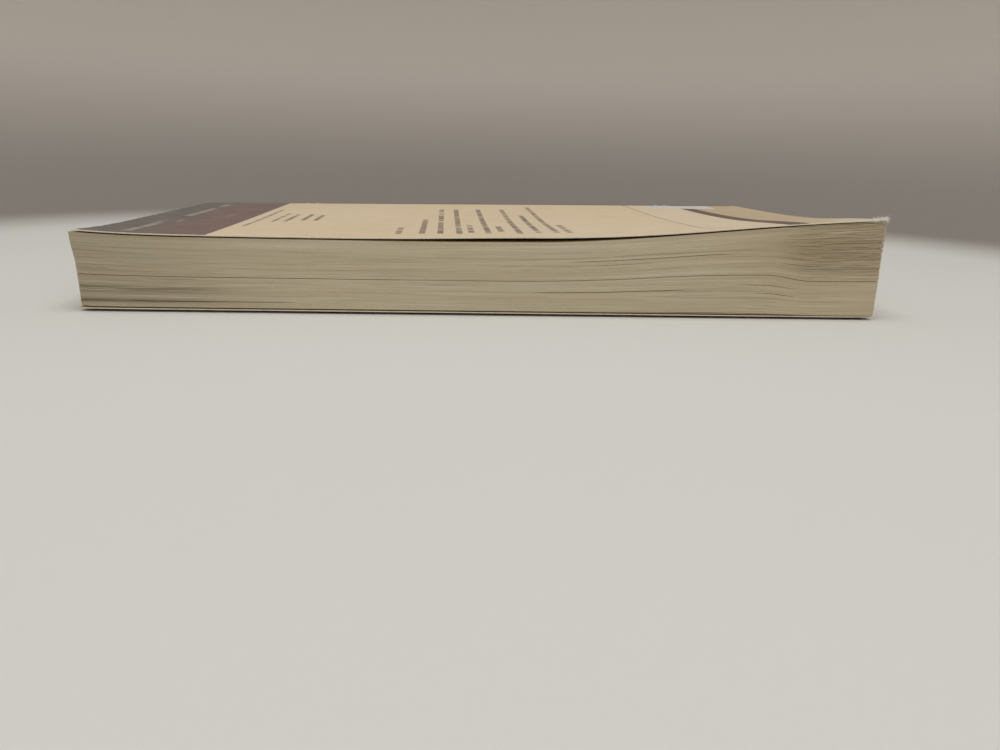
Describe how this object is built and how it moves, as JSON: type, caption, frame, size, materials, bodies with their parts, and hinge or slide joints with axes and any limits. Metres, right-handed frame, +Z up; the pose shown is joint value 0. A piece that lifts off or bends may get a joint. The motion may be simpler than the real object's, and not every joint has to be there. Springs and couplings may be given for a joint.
{
  "type": "paperback book",
  "caption": "Worn perfect-bound paperback lying closed on its front cover, swollen towards the tail, its back cover curling up at one corner; both covers open on hinge creases.",
  "frame": {"origin": "middle of the underside of the closed book", "axes": "+X runs from the head of the pages to the tail, +Y from the fore-edge to the spine, +Z up from the front cover to the back cover"},
  "size_m": [0.1906, 0.108, 0.0239],
  "materials": {
    "pages": "uncoated bulky book paper, yellowed",
    "glue": "hot-melt adhesive, satin",
    "spine_card": "printed card, worn satin coating",
    "back_card": "printed card, worn satin coating",
    "front_card": "printed card, worn satin coating"
  },
  "bodies": {
    "book_block": {"page_block": "pages", "spine_glue": "glue", "spine_cover": "spine_card"},
    "back_panel": {"back_cover": "back_card"},
    "front_panel": {"front_cover": "front_card"}
  },
  "joints": [
    {"name": "back_cover_hinge", "type": "hinge", "parent": "book_block", "child": "back_panel", "pos_m": [0, 0.0495, 0.0187], "axis": [-0.9999, 0, -0.0147], "range_deg": [0, 180]},
    {"name": "front_cover_hinge", "type": "hinge", "parent": "book_block", "child": "front_panel", "pos_m": [0, 0.0495, -0.0001], "axis": [1, 0, 0], "range_deg": [0, 180]}
  ]
}
